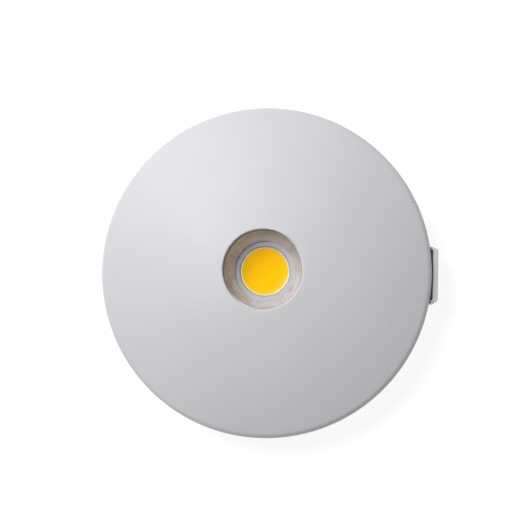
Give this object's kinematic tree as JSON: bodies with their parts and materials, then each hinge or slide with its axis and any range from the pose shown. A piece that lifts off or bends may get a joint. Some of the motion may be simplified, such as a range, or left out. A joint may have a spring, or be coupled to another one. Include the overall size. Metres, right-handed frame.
{
  "type": "ceiling emergency light",
  "caption": "Round shallow-domed ceiling light with a recessed LED in a metallised bowl, a twist-lock base and a sprung release latch at its rim.",
  "frame": {"origin": "centre of the base's mounting face, on the axis of the cable entry", "axes": "+Z away from the ceiling, the way the light shines; +X from the centre to the release latch"},
  "size_m": [0.1222, 0.12, 0.033],
  "materials": {
    "cover_white": "satin",
    "base_white": "satin",
    "latch_white": "satin",
    "rubber_black": "matte",
    "contact_brass": "satin",
    "screw_steel": "satin",
    "spring_steel": "polished",
    "reflector_metallised": "satin",
    "sink_aluminium": "satin",
    "substrate_ceramic": "matte",
    "dam_silicone": "satin",
    "phosphor_yellow": "satin",
    "holder_grey": "matte",
    "pad_grey": "matte",
    "board_green": "satin",
    "capacitor_sleeve": "satin",
    "ferrite_black": "matte",
    "chip_black": "matte",
    "resistor_dark": "satin",
    "lead_red": "satin",
    "lead_black": "satin"
  },
  "bodies": {
    "base": {"base_plate": "base_white", "cable_grommet": "rubber_black", "base_contacts": "contact_brass", "contact_rivets": "screw_steel", "terminal_clamps": "screw_steel", "terminal_screws": "screw_steel", "latch_keeper": "screw_steel", "latch_keeper_screws": "screw_steel", "latch_spring": "spring_steel"},
    "latch": {"release_latch": "latch_white"},
    "head": {"dome_cover": "cover_white", "rear_housing": "base_white", "cover_screws": "screw_steel", "reflector": "reflector_metallised", "cob_substrate": "substrate_ceramic", "cob_dam": "dam_silicone", "cob_phosphor": "phosphor_yellow", "cob_holder": "holder_grey", "cob_holder_screws": "screw_steel", "thermal_pad": "pad_grey", "heat_sink": "sink_aluminium", "heat_sink_screws": "screw_steel", "driver_board": "board_green", "board_screws": "screw_steel", "electrolytic_capacitors": "capacitor_sleeve", "inductor": "ferrite_black", "control_chips": "chip_black", "rectifier_diodes": "chip_black", "resistors": "resistor_dark", "led_lead_red": "lead_red", "led_lead_black": "lead_black", "head_contacts": "contact_brass", "head_contact_pins": "contact_brass"}
  },
  "joints": [
    {"name": "head_twist", "type": "hinge", "parent": "base", "child": "head", "pos_m": [0, 0, 0.012], "axis": [0, 0, 1], "range_deg": [0, 20]},
    {"name": "latch_slide", "type": "slide", "parent": "base", "child": "latch", "axis": [1, 0, 0], "range_m": [0, 0.002], "stiffness_N_per_m": 300, "springref_m": -0.003, "deforming": ["latch_spring"]}
  ],
  "couplings": [
    {"joint": "latch_slide", "follows": "head_twist", "m_per_rad": 0.005729}
  ]
}
